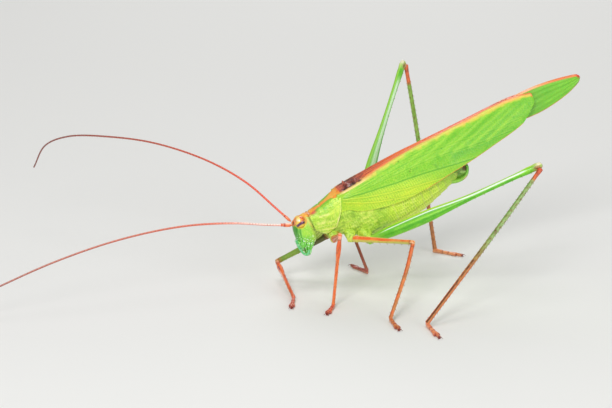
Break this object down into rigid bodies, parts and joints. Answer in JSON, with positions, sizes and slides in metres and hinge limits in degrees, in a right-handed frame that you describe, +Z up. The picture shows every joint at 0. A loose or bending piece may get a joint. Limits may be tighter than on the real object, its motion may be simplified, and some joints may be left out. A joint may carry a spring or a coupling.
{
  "type": "long horned grasshopper",
  "caption": "Slender green bush-cricket standing head down on its six feet, with folded wings and very long antennae; still display model.",
  "frame": {"origin": "floor level, in the middle of the model's bounding box", "axes": "+Z up, the animal looks along -X, its left side is towards -Y"},
  "size_m": [0.077, 0.0474, 0.0225],
  "materials": {
    "trunk": "satin yellow-green, finely mottled",
    "pronotum": "satin yellow-green with an orange stripe along the back",
    "head": "satin green, orange on the crown",
    "eye": "glossy orange and yellow with a dark purple band",
    "mouthparts": "satin pale green with white specks",
    "palp": "glossy mint green",
    "antenna": "satin orange-red fading to pinkish brown",
    "tegmen": "satin lime green, veined, brown-red along the back",
    "hindwing": "satin green with orange edges",
    "femur": "satin orange and green",
    "hind_femur": "satin green with a pale line",
    "tibia": "satin red-orange",
    "hind_tibia": "satin grey-green to orange-brown with dark spots",
    "tarsus": "satin red-orange"
  },
  "bodies": {
    "root": {"pronotum": "pronotum", "thorax": "trunk", "abdomen": "trunk", "tail_plate": "trunk", "cercus_left": "trunk", "tegmen_left": "tegmen", "hindwing_left": "hindwing", "cercus_right": "trunk", "tegmen_right": "tegmen", "hindwing_right": "hindwing", "head": "head", "mouthparts": "mouthparts", "eye_left": "eye", "palp_left": "palp", "eye_right": "eye", "palp_right": "palp", "antenna_left_base": "antenna", "antenna_left_1": "antenna", "antenna_left_2": "antenna", "antenna_left_3": "antenna", "antenna_left_4": "antenna", "antenna_right_base": "antenna", "antenna_right_1": "antenna", "antenna_right_2": "antenna", "antenna_right_3": "antenna", "antenna_right_4": "antenna", "coxa_fore_left": "trunk", "coxa_mid_left": "trunk", "coxa_hind_left": "trunk", "coxa_fore_right": "trunk", "coxa_mid_right": "trunk", "coxa_hind_right": "trunk", "femur_fore_left": "femur", "tarsus_fore_left": "tarsus", "tibia_fore_left": "tibia", "femur_mid_left": "femur", "tarsus_mid_left": "tarsus", "tibia_mid_left": "tibia", "femur_hind_left": "hind_femur", "tarsus_hind_left": "tarsus", "tibia_hind_left": "hind_tibia", "femur_fore_right": "femur", "tarsus_fore_right": "tarsus", "tibia_fore_right": "tibia", "femur_mid_right": "femur", "tarsus_mid_right": "tarsus", "tibia_mid_right": "tibia", "femur_hind_right": "hind_femur", "tarsus_hind_right": "tarsus", "tibia_hind_right": "hind_tibia"}
  },
  "joints": []
}
